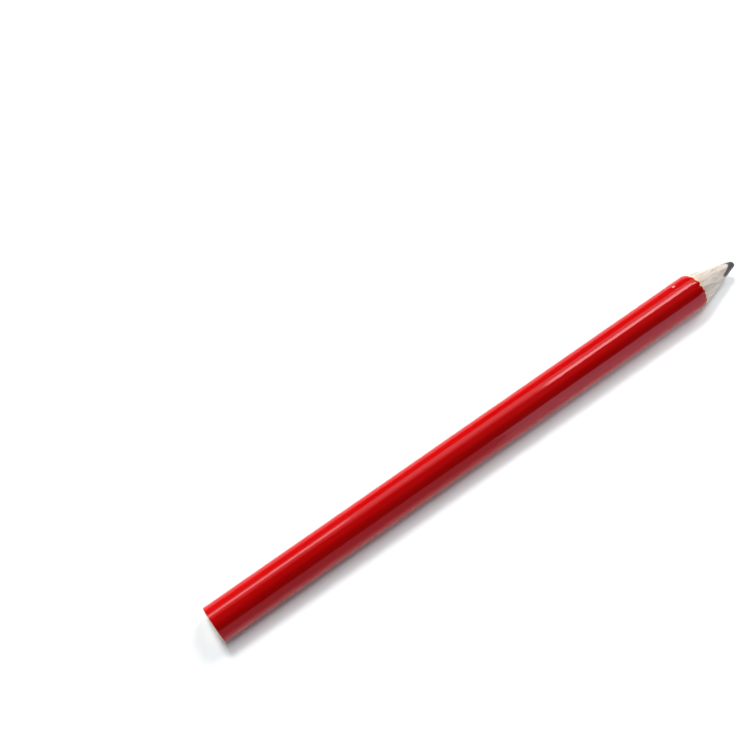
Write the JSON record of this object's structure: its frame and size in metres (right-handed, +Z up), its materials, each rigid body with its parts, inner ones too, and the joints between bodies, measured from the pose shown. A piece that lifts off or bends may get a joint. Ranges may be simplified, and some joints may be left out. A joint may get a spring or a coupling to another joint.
{
  "type": "carpenter pencil",
  "caption": "Oval carpenter pencil in red gloss lacquer, with a flat graphite core between two glued wooden slats and a sharpened conical end.",
  "frame": {"origin": "on the plane the pencil rests on when it lies on a wide face, midway along its length and width", "axes": "+X along the pencil to the writing tip, +Y across its width, +Z up through its thickness"},
  "size_m": [0.24, 0.0144, 0.011],
  "materials": {
    "pencil_wood": "bare pale wood, fine straight grain, smooth where sharpened",
    "graphite": "graphite and clay, dark violet grey with a dull metallic sheen",
    "dried_glue": "dried wood glue, dull amber",
    "cream_primer": "matt cream base coat",
    "red_lacquer": "opaque red lacquer",
    "clear_gloss": "clear high-gloss top coat over the red"
  },
  "bodies": {
    "root": {"upper_slat": "pencil_wood", "lower_slat": "pencil_wood", "graphite_core": "graphite", "core_glue": "dried_glue", "seam_glue_left": "dried_glue", "seam_glue_right": "dried_glue", "base_coat": "cream_primer", "red_lacquer": "red_lacquer", "clear_coat": "clear_gloss"}
  },
  "joints": []
}
